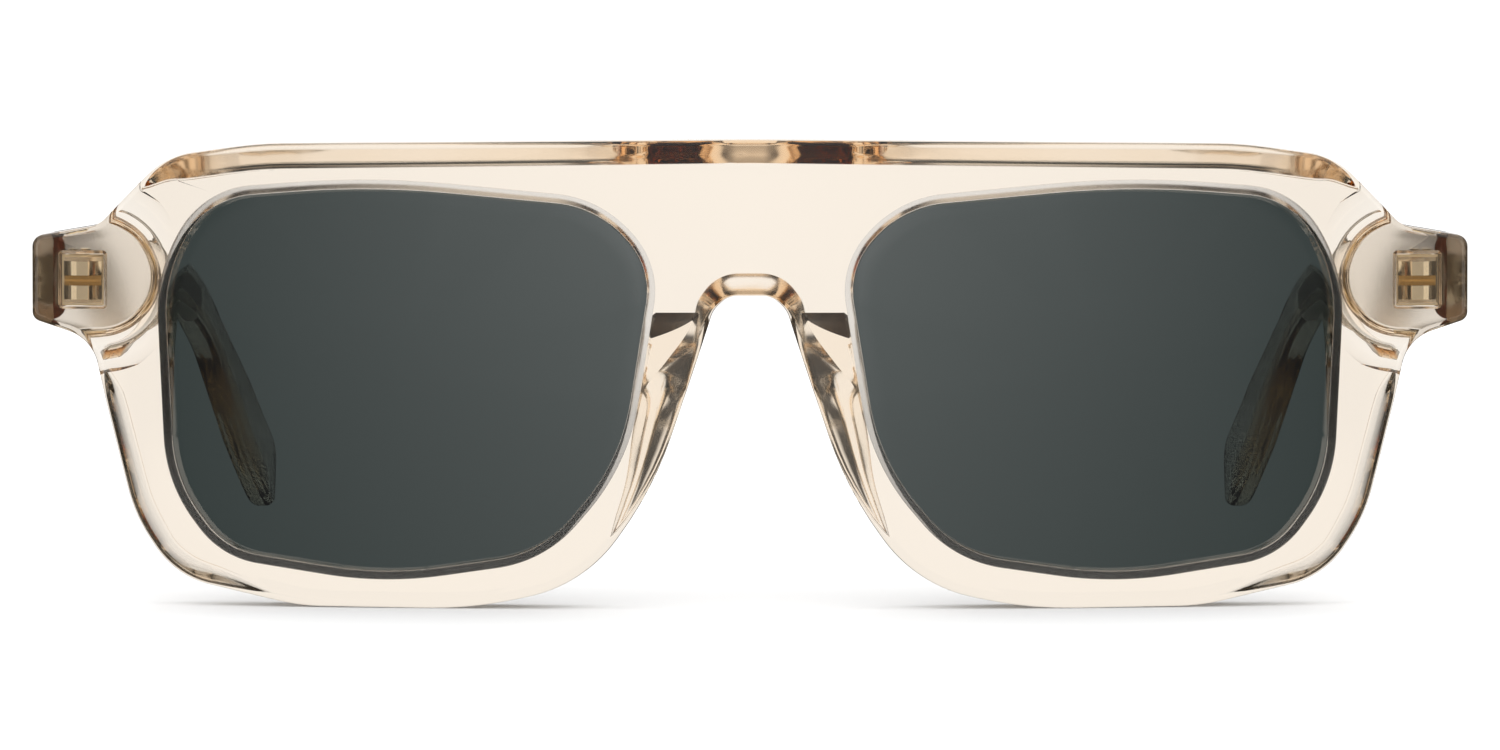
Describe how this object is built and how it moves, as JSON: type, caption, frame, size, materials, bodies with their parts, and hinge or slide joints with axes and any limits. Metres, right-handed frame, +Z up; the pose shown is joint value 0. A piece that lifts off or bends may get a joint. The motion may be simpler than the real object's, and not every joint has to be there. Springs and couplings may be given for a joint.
{
  "type": "rectangular sunglasses",
  "caption": "Rectangular flat-brow sunglasses in clear champagne acetate with dark lenses, built-up nose pads and folding temples on barrel hinges, standing open.",
  "frame": {"origin": "on the surface that the open pair stands on, below the middle of its box", "axes": "+X towards the wearer's left, which is right in the picture; +Y from the front towards the wearer's ears; +Z up; the front's face looks along -Y"},
  "size_m": [0.1468, 0.1495, 0.0477],
  "materials": {
    "front_acetate": "clear champagne acetate, polished",
    "temple_acetate": "clear champagne acetate, polished",
    "pad_acetate": "clear champagne acetate, polished",
    "lens_tint": "grey-green tinted, polished",
    "hinge_gold": "polished, pale gold",
    "screw_gold": "polished, pale gold",
    "core_steel": "drawn nickel silver wire"
  },
  "bodies": {
    "front": {"front": "front_acetate", "nose_pad_left": "pad_acetate", "nose_pad_right": "pad_acetate", "lens_left": "lens_tint", "lens_right": "lens_tint", "front_hinge_left": "hinge_gold", "front_hinge_right": "hinge_gold", "hinge_screw_left": "screw_gold", "hinge_screw_right": "screw_gold"},
    "temple_left": {"temple_left": "temple_acetate", "temple_hinge_left": "hinge_gold", "core_wire_left": "core_steel"},
    "temple_right": {"temple_right": "temple_acetate", "temple_hinge_right": "hinge_gold", "core_wire_right": "core_steel"}
  },
  "joints": [
    {"name": "fold_left", "type": "hinge", "parent": "front", "child": "temple_left", "pos_m": [0.0683, -0.05907, 0.033], "axis": [0, 0, 1], "range_deg": [0, 85]},
    {"name": "fold_right", "type": "hinge", "parent": "front", "child": "temple_right", "pos_m": [-0.0683, -0.05907, 0.033], "axis": [0, 0, -1], "range_deg": [0, 79]}
  ]
}
